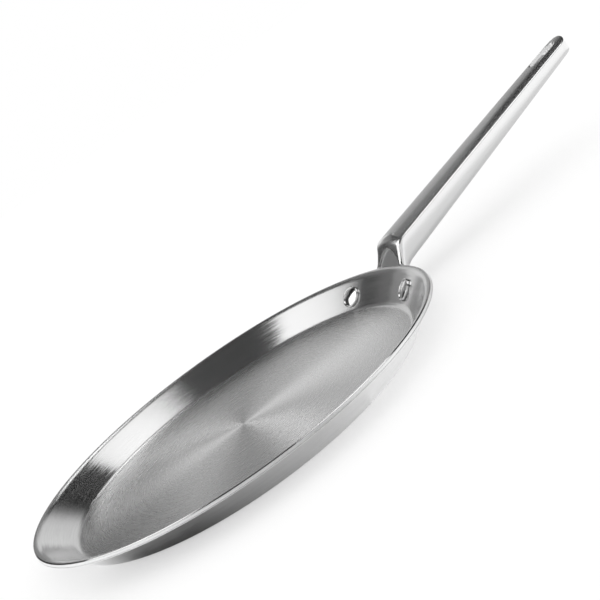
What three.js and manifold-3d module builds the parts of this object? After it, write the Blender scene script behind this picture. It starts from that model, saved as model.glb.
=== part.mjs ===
// Pancake pan: a clad dish with a low flared wall, and a cast handle held by two rivets.
// Millimetres, +Z up. The origin is the middle of the flat underside, and +X runs along the handle.

import * as THREE from 'three';
import { mergeVertices } from 'three/addons/utils/BufferGeometryUtils.js';
import { LoftGeometry } from 'three/addons/geometries/LoftGeometry.js';
import Module from 'manifold-3d';

const wasm = await Module();
wasm.setup();

// Driving dimensions of the dish
const rimRadius = 120;
const panHeight = 16.2;
const innerPlyThickness = 0.4;
const corePlyThickness = 1.4;
const outerPlyThickness = 0.4;
const bondGap = 0.05;
const floorCornerRadius = 5;
const wallAngle = THREE.MathUtils.degToRad(42);
const lipBendRadius = 4;
const lipAngle = THREE.MathUtils.degToRad(8);
const lipFlat = 1;

// Driving dimensions of the rivets
const rivetSpacing = 57.6;
const rivetLift = -0.9;
const shankRadius = 3;
const headRadius = 6;
const headHeight = 1.7;
const ringWidth = 1.5;
const faceCrown = 1;
const tailRadius = 4.6;
const tailFaceRadius = 3.2;
const tailHeight = 1.5;

// Driving dimensions of the handle
const handleLength = 180.4;
const gripSlope = THREE.MathUtils.degToRad(9.4);
const elbowRise = 10.2;
const elbowRadius = 4;
const neckAngle = THREE.MathUtils.degToRad(57);
const neckWidthAtRim = 28.4;
const neckEdgeRadius = 3.2;
const creaseRadius = 0.5;
const gripWidthAtElbow = 25.6;
const gripWidthAtTip = 18.4;
const gripDepthAtElbow = 14;
const gripDepthAtTip = 7;
const gripCrown = 2.8;
const undersideRadius = 4.5;
const flangeThickness = 2.4;
const flangeEdgeRadius = 1;
const earRadius = 6.2;
const pocketWidth = 21.5;
const pocketHeight = 9.6;
const pocketDepth = 1;
const slotLength = 22;
const slotWidth = 7;
const slotBevel = 1.2;
const slotInset = 5.6;
const channelStart = 24;
const channelEnd = 128;
const channelShare = 0.56;
const channelRoof = 5.2;
const shoulderShare = 0.7;
const crownAtBend = 0.5;
const tipTurn = THREE.MathUtils.degToRad(82);
const filletShare = 0.45;

// Clearances between pieces
const seatGap = 0.3;
const holeClearance = 0.3;
const lipClearance = 0.4;

// Fineness of the round shapes
const roundSteps = 64;
const arcSteps = 3;
const rivetSteps = 24;
const crownSteps = 6;
const earSteps = 5;
const neckSteps = 3;
const bendSteps = 2;
const gripSteps = 5;
const tipSteps = 5;
const cutSteps = 6;

// Sizes that follow from the driving dimensions
const sheetThickness = innerPlyThickness + corePlyThickness + outerPlyThickness + 2 * bondGap;
const lipTopRadius = lipBendRadius + sheetThickness;
const cornerRise = floorCornerRadius * (1 - Math.cos(wallAngle));
const cornerRun = floorCornerRadius * Math.sin(wallAngle);
const lipRise = lipTopRadius * (Math.cos(lipAngle) - Math.cos(wallAngle)) + lipFlat * Math.sin(lipAngle);
const lipRun = lipTopRadius * (Math.sin(wallAngle) - Math.sin(lipAngle)) + lipFlat * Math.cos(lipAngle);
const edgeRun = sheetThickness * Math.sin(lipAngle);
const wallLength = (panHeight - sheetThickness - cornerRise - lipRise) / Math.sin(wallAngle);
const floorRadius = rimRadius - edgeRun - cornerRun - wallLength * Math.cos(wallAngle) - lipRun;

const wallAlong = new THREE.Vector2(Math.cos(wallAngle), Math.sin(wallAngle));
const wallOut = new THREE.Vector2(Math.sin(wallAngle), -Math.cos(wallAngle));
const wallFoot = new THREE.Vector2(floorRadius + cornerRun, sheetThickness + cornerRise);

// A point of the straight wall in (radius, height): up the slope from its middle, and into the sheet
function wallPoint(upSlope, depth) {
  return wallFoot.clone()
    .addScaledVector(wallAlong, wallLength / 2 + upSlope)
    .addScaledVector(wallOut, depth);
}

// Half the dish in (radius, height), from the middle of the floor to the cut edge, at a depth into the sheet
function dishCurve(depth) {
  const corner = new THREE.Vector2(floorRadius, sheetThickness + floorCornerRadius);
  const lipCentre = wallPoint(wallLength / 2, lipTopRadius);
  const points = [new THREE.Vector2(0, sheetThickness - depth)];
  for (let i = 0; i <= arcSteps; i += 1) {
    const turn = wallAngle * i / arcSteps;
    const arm = new THREE.Vector2(Math.sin(turn), -Math.cos(turn));
    points.push(corner.clone().addScaledVector(arm, floorCornerRadius + depth));
  }
  for (let i = 0; i <= arcSteps; i += 1) {
    const turn = THREE.MathUtils.lerp(wallAngle, lipAngle, i / arcSteps);
    const arm = new THREE.Vector2(-Math.sin(turn), Math.cos(turn));
    points.push(lipCentre.clone().addScaledVector(arm, lipTopRadius - depth));
  }
  const lipAlong = new THREE.Vector2(Math.cos(lipAngle), Math.sin(lipAngle));
  points.push(points.at(-1).clone().addScaledVector(lipAlong, lipFlat));
  return points;
}

// A closed solid from a geometry, with shared corners merged and flat triangles dropped
function solid(geometry) {
  geometry.deleteAttribute('normal');
  geometry.deleteAttribute('uv');
  const merged = mergeVertices(new THREE.BufferGeometry().copy(geometry));
  const corners = merged.index.array;
  const kept = [];
  for (let i = 0; i < corners.length; i += 3) {
    const [a, b, c] = corners.slice(i, i + 3);
    if (a !== b && b !== c && c !== a) {
      kept.push(a, b, c);
    }
  }
  const vertProperties = new Float32Array(merged.attributes.position.array);
  const triVerts = new Uint32Array(kept);
  return new wasm.Manifold(new wasm.Mesh({ numProp: 3, vertProperties, triVerts }));
}

// A named mesh from a solid
function meshOf(name, body, material) {
  const { vertProperties, triVerts } = body.getMesh();
  const geometry = new THREE.BufferGeometry();
  geometry.setAttribute('position', new THREE.BufferAttribute(vertProperties, 3));
  geometry.setIndex(new THREE.BufferAttribute(triVerts, 1));
  geometry.computeVertexNormals();
  const mesh = new THREE.Mesh(geometry, material);
  mesh.name = name;
  return mesh;
}

// A profile turned about Z
function turned(points, steps) {
  return new THREE.LatheGeometry(points, steps).rotateX(Math.PI / 2);
}

const steel = (color, roughness) => new THREE.MeshStandardMaterial({ color, roughness, metalness: 1 });

// The rivets' place on the wall: the axis leans with the wall's normal
const rivetFoot = wallPoint(rivetLift, 0);
const rivetAngle = Math.asin(rivetSpacing / 2 / rivetFoot.x);
const rivetGrip = sheetThickness + seatGap + flangeThickness + seatGap;

function onRivetAxis(side) {
  const lean = new THREE.Matrix4().makeRotationY(-wallAngle).setPosition(rivetFoot.x, 0, rivetFoot.y);
  return new THREE.Matrix4().makeRotationZ(side * rivetAngle).multiply(lean);
}

// The drilled hole for one rivet, through the wall and the flange
function rivetHole(side) {
  const radius = shankRadius + holeClearance;
  const drill = new THREE.CylinderGeometry(radius, radius, 4 * rivetGrip, rivetSteps);
  return solid(drill.rotateX(Math.PI / 2).applyMatrix4(onRivetAxis(side)));
}

// One ply of the clad sheet, between two depths below the cooking surface
function ply(name, top, thickness, material) {
  const upper = dishCurve(top);
  const lower = dishCurve(top + thickness);
  let body = solid(turned([...lower, ...upper.reverse()], roundSteps));
  for (const side of [-1, 1]) {
    body = body.subtract(rivetHole(side));
  }
  return meshOf(name, body, material);
}

// A solid rivet: upset tail outside, shank, and a head with a crowned face inside a rounded ring
function rivet(name, side) {
  const face = seatGap + headHeight;
  const ringRound = ringWidth / 2;
  const profile = [
    new THREE.Vector2(0, -rivetGrip - tailHeight),
    new THREE.Vector2(tailFaceRadius, -rivetGrip - tailHeight),
    new THREE.Vector2(tailRadius, -rivetGrip - tailHeight / 2),
    new THREE.Vector2(tailRadius, -rivetGrip),
    new THREE.Vector2(shankRadius, -rivetGrip),
    new THREE.Vector2(shankRadius, seatGap),
    new THREE.Vector2(headRadius, seatGap),
  ];
  for (let i = 0; i <= 2 * arcSteps; i += 1) {
    const turn = Math.PI * i / (2 * arcSteps);
    const across = headRadius - ringRound + ringRound * Math.cos(turn);
    profile.push(new THREE.Vector2(across, face - ringRound + ringRound * Math.sin(turn)));
  }
  const faceRadius = headRadius - ringWidth;
  for (let i = 1; i <= arcSteps; i += 1) {
    const share = 1 - i / arcSteps;
    profile.push(new THREE.Vector2(faceRadius * share, face - ringRound + faceCrown * (1 - share ** 2)));
  }
  const body = solid(turned(profile, rivetSteps).applyMatrix4(onRivetAxis(side)));
  return meshOf(name, body, steel(0xe6e6e8, 0.12));
}

// The handle's top line in (distance, height), from the elbow to the tip
const lipPoint = new THREE.Vector2(rimRadius + lipClearance, panHeight);
const elbow = new THREE.Vector2(lipPoint.x + elbowRise / Math.tan(neckAngle), panHeight + elbowRise);
const gripAlong = new THREE.Vector2(Math.cos(gripSlope), Math.sin(gripSlope));
const gripUp = new THREE.Vector2(-Math.sin(gripSlope), Math.cos(gripSlope));
const elbowTangent = elbowRadius * Math.tan((neckAngle - gripSlope) / 2);
const gripLength = (rimRadius + handleLength - elbow.x) / Math.cos(gripSlope);

const gripTop = (along) => elbow.clone().addScaledVector(gripAlong, along);
const gripShare = (along) => along / gripLength;
const gripHalf = (along) => THREE.MathUtils.lerp(gripWidthAtElbow, gripWidthAtTip, gripShare(along)) / 2;
const gripDepth = (along) => THREE.MathUtils.lerp(gripDepthAtElbow, gripDepthAtTip, gripShare(along));
const gripUnder = (along) => gripTop(along).addScaledVector(gripUp, -gripDepth(along));

// A quarter round at the edge of a cross section, as (across, drop) from its flat to its side
function roundedEdge(half, depth, radius) {
  const round = Math.min(radius, filletShare * 2 * half, filletShare * depth);
  const points = [];
  for (let i = 0; i <= arcSteps; i += 1) {
    const turn = i / arcSteps * Math.PI / 2;
    points.push([half - round + round * Math.sin(turn), round - round * Math.cos(turn)]);
  }
  return points;
}

// One cross section of the handle, counterclockwise as seen from the tip: crowned top, then round under edges
function section({ top, under, half, crown = 0, crownHalf = half, crease, edge }) {
  const up = top.clone().sub(under).normalize();
  const depth = top.distanceTo(under);
  const over = roundedEdge(half, depth, crease);
  const below = roundedEdge(half, depth, edge);
  const shoulder = over[0][0];
  const outline = over.map(([across, drop]) => [across, -drop]).reverse();
  for (let i = 1; i < crownSteps; i += 1) {
    outline.push([shoulder * (1 - 2 * i / crownSteps), 0]);
  }
  outline.push(...over.map(([across, drop]) => [-across, -drop]));
  outline.push(...below.map(([across, drop]) => [-across, drop - depth]).reverse());
  outline.push(...below.map(([across, drop]) => [across, drop - depth]));
  for (const point of outline.slice(0, crownSteps + 1 + 2 * arcSteps)) {
    point[1] += crown * (1 - (point[0] / crownHalf) ** 2);
  }
  return outline.map(([across, height]) => {
    const place = top.clone().addScaledVector(up, height);
    return new THREE.Vector3(place.x, across, place.y);
  });
}

// Bends the flange round the dish: fully up to the lip, and less and less up the neck to the straight elbow
function wrapRoundDish(geometry) {
  const places = geometry.attributes.position;
  for (let i = 0; i < places.count; i += 1) {
    const reach = places.getX(i);
    const angle = places.getY(i) / reach;
    const wrap = THREE.MathUtils.clamp((elbow.x - reach) / (elbow.x - lipPoint.x), 0, 1);
    places.setX(i, THREE.MathUtils.lerp(reach, reach * Math.cos(angle), wrap));
    places.setY(i, THREE.MathUtils.lerp(reach * angle, reach * Math.sin(angle), wrap));
  }
  return geometry;
}

// The flange: it follows the outside of the wall and ends in a round ear at each rivet
function flangeSections() {
  const inner = sheetThickness + seatGap;
  const sections = [];
  for (let i = 0; i <= 2 * earSteps - 1; i += 1) {
    const turn = Math.PI / 2 * (i / earSteps - 1);
    const upSlope = earRadius * Math.sin(turn);
    sections.push({
      top: wallPoint(rivetLift + upSlope, inner),
      under: wallPoint(rivetLift + upSlope, inner + flangeThickness),
      half: rivetAngle * rivetFoot.x + earRadius * Math.cos(turn),
      crease: flangeEdgeRadius,
      edge: flangeEdgeRadius,
    });
  }
  return sections;
}

// The neck: round the lip, up the leaning front face and over the elbow
function neckSections(flangeEnd) {
  const neckAlong = elbow.clone().sub(lipPoint).normalize();
  const neckLength = elbow.distanceTo(lipPoint);
  const underLip = new THREE.Vector2(lipPoint.x, panHeight - sheetThickness - lipRise);
  const lipHalf = neckWidthAtRim / 2;
  const shoulderHalf = THREE.MathUtils.lerp(flangeEnd.half, lipHalf, shoulderShare);
  const toLip = flangeEnd.top.distanceTo(underLip);
  const pathLength = toLip + underLip.distanceTo(lipPoint) + neckLength;
  const sections = [];
  const add = (top, walked, half, crown, crease) => {
    const share = walked / pathLength;
    const under = flangeEnd.under.clone().lerp(gripUnder(0), share);
    const edge = THREE.MathUtils.lerp(flangeEdgeRadius, undersideRadius, share);
    sections.push({ top, under, half, crown, crease, edge });
  };
  add(underLip, toLip, shoulderHalf, 0, flangeEdgeRadius);
  const frontLength = neckLength - elbowTangent;
  for (let i = 0; i < neckSteps; i += 1) {
    const share = i / neckSteps;
    const top = lipPoint.clone().addScaledVector(neckAlong, share * frontLength);
    const half = THREE.MathUtils.lerp(gripHalf(0), lipHalf, (1 - share) ** 2);
    const walked = pathLength - neckLength + share * frontLength;
    add(top, walked, half, gripCrown * crownAtBend * share ** 2, neckEdgeRadius);
  }
  const bendCentre = elbow.clone().addScaledVector(neckAlong, -elbowTangent);
  bendCentre.x += elbowRadius * Math.sin(neckAngle);
  bendCentre.y -= elbowRadius * Math.cos(neckAngle);
  for (let i = 0; i <= bendSteps; i += 1) {
    const share = i / bendSteps;
    const turn = THREE.MathUtils.lerp(neckAngle, gripSlope, share);
    const arm = new THREE.Vector2(-Math.sin(turn), Math.cos(turn));
    const top = bendCentre.clone().addScaledVector(arm, elbowRadius);
    const walked = pathLength - elbowTangent * (1 - share);
    const crown = gripCrown * THREE.MathUtils.lerp(crownAtBend, 1, share);
    add(top, walked, gripHalf(0), crown, THREE.MathUtils.lerp(neckEdgeRadius, creaseRadius, share));
  }
  return sections;
}

// The grip: a straight taper whose crown runs out to a round tip, seen from above, with a small flat at its end
function gripSections() {
  const tipRound = gripWidthAtTip / 2;
  const straightStart = 2 * elbowTangent;
  const straightEnd = gripLength - tipRound;
  const at = (along, half) => ({
    top: gripTop(along),
    under: gripUnder(along),
    half,
    crown: gripCrown * (2 * gripHalf(along) / gripWidthAtElbow) ** 2,
    crownHalf: gripHalf(along),
    crease: creaseRadius,
    edge: undersideRadius * gripDepth(along) / gripDepthAtElbow,
  });
  const sections = [];
  for (let i = 0; i <= gripSteps; i += 1) {
    const along = THREE.MathUtils.lerp(straightStart, straightEnd, i / gripSteps);
    sections.push(at(along, gripHalf(along)));
  }
  for (let i = 1; i <= tipSteps; i += 1) {
    const turn = tipTurn * i / tipSteps;
    sections.push(at(straightEnd + tipRound * Math.sin(turn), gripHalf(straightEnd) * Math.cos(turn)));
  }
  return sections;
}

// An outline cut into the handle: drawn on a plane, and pushed from one depth to another along its normal
function cutter(shape, origin, along, from, to, bevel = {}) {
  const across = new THREE.Vector3(0, 1, 0);
  const ahead = new THREE.Vector3(along.x, 0, along.y);
  const normal = new THREE.Vector3().crossVectors(ahead, across);
  const plane = new THREE.Matrix4().makeBasis(ahead, across, normal);
  plane.setPosition(new THREE.Vector3(origin.x, 0, origin.y).addScaledVector(normal, from));
  const settings = { depth: to - from, bevelEnabled: false, curveSegments: cutSteps, ...bevel };
  return solid(new THREE.ExtrudeGeometry(shape, settings).applyMatrix4(plane));
}

// A straight slot outline with round ends, from one distance to another
function slotShape(start, end, startHalf, endHalf) {
  const shape = new THREE.Shape();
  shape.moveTo(start, -startHalf);
  shape.lineTo(end, -endHalf);
  shape.absarc(end, 0, endHalf, -Math.PI / 2, Math.PI / 2);
  shape.lineTo(start, startHalf);
  shape.absarc(start, 0, startHalf, Math.PI / 2, Math.PI * 1.5);
  return shape;
}

// The arched pocket in the front of the neck, open at the lip
function pocketCut() {
  const neckAlong = elbow.clone().sub(lipPoint).normalize();
  const half = pocketWidth / 2;
  const below = -2 * pocketDepth;
  const shape = new THREE.Shape();
  shape.moveTo(below, -half);
  shape.lineTo(0, -half);
  shape.quadraticCurveTo(2 * pocketHeight, 0, 0, half);
  shape.lineTo(below, half);
  return cutter(shape, lipPoint, neckAlong, -pocketDepth, 2 * gripCrown);
}

// The hanging slot through the tip, with its bevelled mouth
function slotCut() {
  const half = slotWidth / 2;
  const end = gripLength - slotInset - half;
  const start = end - slotLength + slotWidth;
  const shape = slotShape(start, end, half, half);
  const mouth = gripCrown * (gripWidthAtTip / gripWidthAtElbow) ** 2;
  const through = cutter(shape, elbow, gripAlong, -gripDepthAtElbow, 2 * gripCrown);
  const bevel = { bevelEnabled: true, bevelSize: slotBevel, bevelThickness: slotBevel, bevelSegments: 1 };
  const chamfer = cutter(shape, elbow, gripAlong, mouth, mouth + gripCrown, bevel);
  return through.add(chamfer);
}

// The hollow under the grip, which keeps the casting light
function channelCut() {
  const startHalf = gripHalf(channelStart) * channelShare;
  const endHalf = gripHalf(channelEnd) * channelShare;
  const shape = slotShape(channelStart, channelEnd, startHalf, endHalf);
  return cutter(shape, elbow, gripAlong, -2 * gripDepthAtElbow, -channelRoof);
}

function handle(name) {
  const flange = flangeSections();
  const sections = [...flange, ...neckSections(flange.at(-1)), ...gripSections()].map(section);
  const loft = new LoftGeometry(sections, { capStart: true, capEnd: true });
  let body = solid(wrapRoundDish(loft));
  for (const cut of [pocketCut(), slotCut(), channelCut(), rivetHole(-1), rivetHole(1)]) {
    body = body.subtract(cut);
  }
  return meshOf(name, body, steel(0xc9c9cc, 0.22));
}

const pan = new THREE.Group();
const coreTop = innerPlyThickness + bondGap;
const outerTop = coreTop + corePlyThickness + bondGap;
pan.add(ply('inner_ply', 0, innerPlyThickness, steel(0xb8b8ba, 0.32)));
pan.add(ply('core_ply', coreTop, corePlyThickness, steel(0xd4d6d8, 0.4)));
pan.add(ply('outer_ply', outerTop, outerPlyThickness, steel(0xd8d8da, 0.15)));
pan.add(handle('handle'));
pan.add(rivet('rivet_left', 1));
pan.add(rivet('rivet_right', -1));

export default pan;
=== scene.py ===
"""Pancake pan: a clad steel dish with a riveted cast handle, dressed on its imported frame."""

from collections import namedtuple
from math import asin, cos, pi, radians, sin, tan, tau

import bmesh
import bpy
from bpy.props import FloatProperty, FloatVectorProperty, IntProperty, PointerProperty
from bpy.types import NodeSocket, Operator, Panel, PropertyGroup, Scene
from mathutils import Matrix, Quaternion, Vector


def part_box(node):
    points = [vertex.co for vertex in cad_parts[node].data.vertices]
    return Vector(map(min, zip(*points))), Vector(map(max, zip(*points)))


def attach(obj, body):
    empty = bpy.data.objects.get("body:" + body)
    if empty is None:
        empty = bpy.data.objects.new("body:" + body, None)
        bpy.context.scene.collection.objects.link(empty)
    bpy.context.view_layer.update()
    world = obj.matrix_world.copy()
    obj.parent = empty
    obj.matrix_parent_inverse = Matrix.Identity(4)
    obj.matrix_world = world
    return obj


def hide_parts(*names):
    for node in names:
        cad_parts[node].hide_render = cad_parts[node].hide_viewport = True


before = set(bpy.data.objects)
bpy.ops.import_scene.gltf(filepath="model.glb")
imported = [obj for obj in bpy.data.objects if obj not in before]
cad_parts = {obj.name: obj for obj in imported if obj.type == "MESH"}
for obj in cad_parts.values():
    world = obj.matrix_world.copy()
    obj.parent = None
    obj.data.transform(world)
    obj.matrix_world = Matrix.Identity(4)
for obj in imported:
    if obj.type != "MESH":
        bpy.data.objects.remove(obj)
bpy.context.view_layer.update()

bl_info = {
    "name": "Pancake Pan",
    "version": (1, 0, 0),
    "blender": (4, 5, 0),
    "location": "3D View > Sidebar > Pan",
    "description": "Builds a clad pancake pan with a riveted handle on its packed frame",
    "category": "Add Mesh",
}

RIM_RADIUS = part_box("outer_ply")[1].x
PAN_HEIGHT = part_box("inner_ply")[1].z
MM = 0.001

# Mesh steps and limits
FLOOR_STEPS, HOLE_STEPS = 4, 48
TAIL_STEPS, RING_STEPS, FACE_STEPS = 8, 16, 12
EAR_STEPS, NECK_STEPS, BEND_STEPS, GRIP_STEPS, TIP_STEPS = 12, 14, 10, 24, 18
ARCH_STEPS, MOUTH_STEPS = 40, 5
SWEEP_RADIUS = 0.1 * MM
MERGE_DISTANCE = 0.002 * MM
SHARP_EDGE = radians(32)

# Shares and turns of the handle's form
SHOULDER_SHARE = 0.7
CROWN_POWER = 1.5
TIP_TURN = radians(84)
MOUTH_TURN = radians(66)
POCKET_DRAFT = 0.4
WIDEST_ROUND, DEEPEST_ROUND = 0.9, 0.45

# Brushed lines: lines per metre outwards, patches round the turn, and their part of the grain
BRUSH_LINES = ((3000, 12, 0.4), (1300, 5, 0.6))
LINE_TONES = (0.9, 1.08)
LINE_LEAN = 0.02
NOISE_RANGE = (0.3, 0.7)
ROUGH_SPREAD = (0.8, 1.2)
INNER_BRUSH, CORE_BRUSH, OUTER_BRUSH = 0.88, 0.5, 0.85
ACROSS_LINES = 0.25

# Widths of the bands where the inside changes from floor to wall and from wall to lip
FLOOR_BAND, WALL_BAND, LIP_BAND = 2 * MM, 1 * MM, 0.8 * MM

# Cast grain: marks per metre along, across and up the piece, and the strength of the grooves
HANDLE_GRAIN = ((60, 2200, 2200), 0.004)
SATIN_GRAIN = ((1500, 1500, 1500), 0.15)
RIVET_GRAIN = ((600, 600, 600), 0.02)
GROOVE_DEPTH = 0.05 * MM
SATIN_TONE = 0.8


def length(name, description, millimetres):
    """A size property, given in millimetres."""
    default = millimetres * MM
    return FloatProperty(name=name, description=description, default=default, precision=5, unit="LENGTH")


def angle(name, description, degrees):
    """An angle property."""
    settings = {"default": radians(degrees), "subtype": "ANGLE", "unit": "ROTATION"}
    return FloatProperty(name=name, description=description, **settings)


def share(name, description, default):
    """A property from 0 to 1."""
    return FloatProperty(name=name, description=description, default=default, min=0, max=1, subtype="FACTOR")


def rough(name, where, default):
    """A roughness property."""
    return share(name + " roughness", "Roughness of the " + where, default)


def steps(name, description, default):
    """A whole number of steps."""
    return IntProperty(name=name, description=description, default=default, min=1)


def tint(name, description, grey):
    """A colour property that starts as a grey."""
    settings = {"default": (grey, grey, grey), "subtype": "COLOR", "min": 0, "max": 1}
    return FloatVectorProperty(name=name, description=description, **settings)


def spot(name, description, default):
    """A place property in metres."""
    return FloatVectorProperty(name=name, description=description, default=default, subtype="TRANSLATION")


class PAN_PG_dish(PropertyGroup):
    """Sizes of the clad dish."""

    rim_radius: length("Rim radius", "From the axis to the cut edge", RIM_RADIUS / MM)
    height: length("Height", "From the underside to the top of the lip", PAN_HEIGHT / MM)
    inner_ply: length("Inner ply", "Thickness of the cooking skin", 0.4)
    core_ply: length("Core ply", "Thickness of the aluminium core", 1.4)
    outer_ply: length("Outer ply", "Thickness of the outer skin", 0.4)
    bond_gap: length("Bond gap", "Gap between two plies", 0.05)
    corner_radius: length("Corner radius", "Inside bend between floor and wall", 5)
    wall_angle: angle("Wall angle", "Slope of the wall above the horizontal", 42)
    lip_bend: length("Lip bend", "Bend radius under the lip", 4)
    lip_angle: angle("Lip angle", "Slope of the lip above the horizontal", 8)
    lip_flat: length("Lip flat", "Straight part of the lip", 1)
    edge_bevel: length("Edge bevel", "Polished bevel of the cut edge", 0.5)
    edge_round: length("Edge round", "Round of the cut edge's corners", 0.2)
    turn_steps: steps("Turn steps", "Steps round the dish", 288)
    arc_steps: steps("Arc steps", "Steps in each bend", 12)
    wall_steps: steps("Wall steps", "Rings on the straight wall", 12)


class PAN_PG_rivets(PropertyGroup):
    """Sizes of the two rivets."""

    spacing: length("Spacing", "Distance between the rivets", 57.6)
    lift: length("Lift", "Place up the wall from its middle", -0.9)
    shank_radius: length("Shank radius", "Radius of the shank", 3)
    head_radius: length("Head radius", "Radius of the head", 6)
    head_height: length("Head height", "Height of the head above its seat", 1.2)
    ring_width: length("Ring width", "Width of the rounded ring of the head", 1)
    face_crown: length("Face crown", "Rise of the crowned face inside the ring", 0.6)
    tail_radius: length("Tail radius", "Radius of the upset tail", 4.6)
    tail_face: length("Tail face", "Radius of the tail's flat face", 3.2)
    tail_height: length("Tail height", "Height of the upset tail", 1.5)
    seat_gap: length("Seat gap", "Gap at each seat", 0.3)
    hole_clearance: length("Hole clearance", "Gap round the shank", 0.3)
    turn_steps: steps("Turn steps", "Steps round a rivet", 64)


class PAN_PG_handle(PropertyGroup):
    """Sizes of the cast handle."""

    reach: length("Reach", "From the rim to the tip of the top line", 180.4)
    slope: angle("Slope", "Rise of the grip", 9.4)
    elbow_rise: length("Elbow rise", "Height of the elbow above the rim", 10.2)
    elbow_radius: length("Elbow radius", "Bend of the top line at the elbow", 7)
    neck_angle: angle("Neck angle", "Slope of the neck's front", 57)
    neck_width: length("Neck width", "Width of the neck at the rim", 28.4)
    neck_edge: length("Neck edge", "Round of the neck's front edges", 3.2)
    crease: length("Crease", "Round of the grip's top edges", 0.5)
    width_elbow: length("Width at the elbow", "Grip width at the elbow", 26)
    width_tip: length("Width at the tip", "Grip width at the tip", 20)
    depth_elbow: length("Depth at the elbow", "Grip depth at the elbow", 14)
    depth_tip: length("Depth at the tip", "Grip depth at the tip", 7.4)
    crown: length("Crown", "Rise of the grip's rounded top", 2.8)
    under_edge: length("Under edge", "Round of the lower edges", 5.6)
    bulge: length("Bulge", "Rounding of the grip's sides", 0.15)
    flange: length("Flange", "Thickness of the flange", 2.4)
    flange_edge: length("Flange edge", "Round of the flange's edges", 1)
    ear_radius: length("Ear radius", "Round of the flange at a rivet", 6.2)
    lip_clearance: length("Lip clearance", "Gap between the neck and the rim", 0.4)
    pocket_width: length("Pocket width", "Width of the arched pocket's floor", 21.4)
    pocket_height: length("Pocket height", "Height of the arched pocket's floor", 8.8)
    pocket_depth: length("Pocket depth", "Depth of the arched pocket", 0.9)
    slot_length: length("Slot length", "Length of the hanging slot", 21)
    slot_width: length("Slot width", "Width of the hanging slot", 7.6)
    slot_draft: angle("Slot draft", "Lean of the slot's walls", 18)
    slot_flare: length("Slot flare", "Depth of the leaning walls", 2.8)
    slot_round: length("Slot round", "Round of the slot's mouth", 0.4)
    slot_inset: length("Slot inset", "From the slot's end to the tip", 6.6)
    channel_start: length("Channel start", "Start of the hollow under the grip", 24)
    channel_end: length("Channel end", "End of the hollow under the grip", 128)
    channel_share: share("Channel share", "Part of the grip's width that is hollow", 0.56)
    channel_roof: length("Channel roof", "Metal above the hollow", 5.2)


class PAN_PG_finish(PropertyGroup):
    """Colours and polish of the finishes."""

    cooking_steel: tint("Cooking steel", "Colour of the brushed inside", 0.62)
    outer_steel: tint("Outer steel", "Colour of the polished outside", 0.84)
    handle_steel: tint("Handle steel", "Colour of the handle", 0.84)
    rivet_steel: tint("Rivet steel", "Colour of the rivets", 0.8)
    core_aluminium: tint("Core aluminium", "Colour of the core at the cut edge", 0.86)
    floor_rough: rough("Floor", "brushed floor", 0.28)
    wall_rough: rough("Wall", "brushed wall", 0.22)
    lip_rough: rough("Lip", "polished lip", 0.1)
    core_rough: rough("Core", "core at the cut edge", 0.35)
    outer_rough: rough("Outer", "polished outside", 0.4)
    handle_rough: rough("Handle", "polished handle", 0.22)
    satin_rough: rough("Satin", "pocket and the hollow", 0.34)
    rivet_rough: rough("Rivet", "rivets", 0.1)


class PAN_PG_stage(PropertyGroup):
    """Camera, floor and light."""

    eye: spot("Eye", "Where the camera stands", (-0.18523, -0.5708, 0.17108))
    aim: spot("Aim", "What the camera points at", (0.08905, 0.05519, 0.02))
    roll: angle("Roll", "Turn of the picture", -34.4)
    lens: FloatProperty(name="Lens", description="Focal length in millimetres", default=72.87, unit="CAMERA")
    floor_tint: tint("Floor colour", "Colour of the pale floor", 0.5)
    box_light: FloatProperty(name="Box light", description="Brightness of the softboxes", default=2.1)


# Node helpers


def feed(tree, node, values):
    """Links or sets a node's inputs, given by name or by number; None leaves an input as it is."""
    for key, value in values.items():
        if isinstance(value, NodeSocket):
            tree.links.new(value, node.inputs[key])
        elif value is not None:
            node.inputs[key].default_value = value


def add(tree, kind, *inputs, named=None, **settings):
    """A node with its settings, and its inputs in order or by name."""
    node = tree.nodes.new(kind)
    for key, value in settings.items():
        setattr(node, key, value)
    feed(tree, node, {**dict(enumerate(inputs)), **(named or {})})
    return node


def out(*given, **settings):
    """The first output of a new node."""
    return add(*given, **settings).outputs[0]


def math_node(tree, operation, *inputs):
    """A math node's output."""
    return out(tree, "ShaderNodeMath", *inputs, operation=operation)


def vector_node(tree, operation, *inputs):
    """A vector math node's output."""
    node = add(tree, "ShaderNodeVectorMath", *inputs, operation=operation)
    return node.outputs["Value" if operation == "LENGTH" else "Vector"]


def mixed(tree, factor, first, second):
    """A mix of two colours. Its colour sockets are inputs 6 and 7 and output 2."""
    return add(tree, "ShaderNodeMix", named={0: factor, 6: first, 7: second}, data_type="RGBA").outputs[2]


def grey_ramp(tree, value, stops):
    """A ramp of greys over a value: stops are position and grey."""
    node = add(tree, "ShaderNodeValToRGB", value)
    elements = node.color_ramp.elements
    elements.remove(elements[1])
    for i, (position, grey) in enumerate(stops):
        element = elements.new(position) if i else elements[0]
        element.position, element.color = position, (grey, grey, grey, 1)
    return node


def new_geometry_tree(name, sockets):
    """A geometry tree and its inputs: a geometry, and then {name: kind of socket}."""
    tree = bpy.data.node_groups.new(name, "GeometryNodeTree")
    for label, kind in {"Geometry": "Geometry", **sockets}.items():
        tree.interface.new_socket(label, in_out="INPUT", socket_type="NodeSocket" + kind)
    tree.interface.new_socket("Geometry", in_out="OUTPUT", socket_type="NodeSocketGeometry")
    return tree, add(tree, "NodeGroupInput").outputs


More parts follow.
